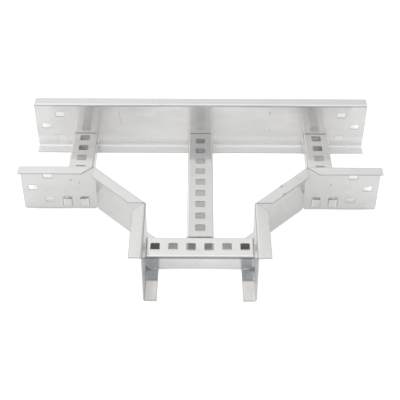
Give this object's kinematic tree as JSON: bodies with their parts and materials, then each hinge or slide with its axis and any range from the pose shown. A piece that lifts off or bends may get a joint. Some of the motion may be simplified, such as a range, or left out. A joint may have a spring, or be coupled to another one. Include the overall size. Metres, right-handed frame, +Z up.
{
  "type": "cable tray tee",
  "caption": "Flat horizontal tee for a cable tray: straight back rail, mitred corner rails and perforated rungs, open above.",
  "frame": {"origin": "middle of the outline at the underside, on the plane that the bottom flanges rest on", "axes": "+X along the run, +Y from the branch towards the straight back rail, +Z up"},
  "size_m": [0.7, 0.4736, 0.11],
  "materials": {
    "sheet": "mill finish"
  },
  "bodies": {
    "root": {"back_rail": "sheet", "left_corner_rail": "sheet", "right_corner_rail": "sheet", "left_rung": "sheet", "right_rung": "sheet", "middle_rung": "sheet", "branch_rung": "sheet"}
  },
  "joints": []
}
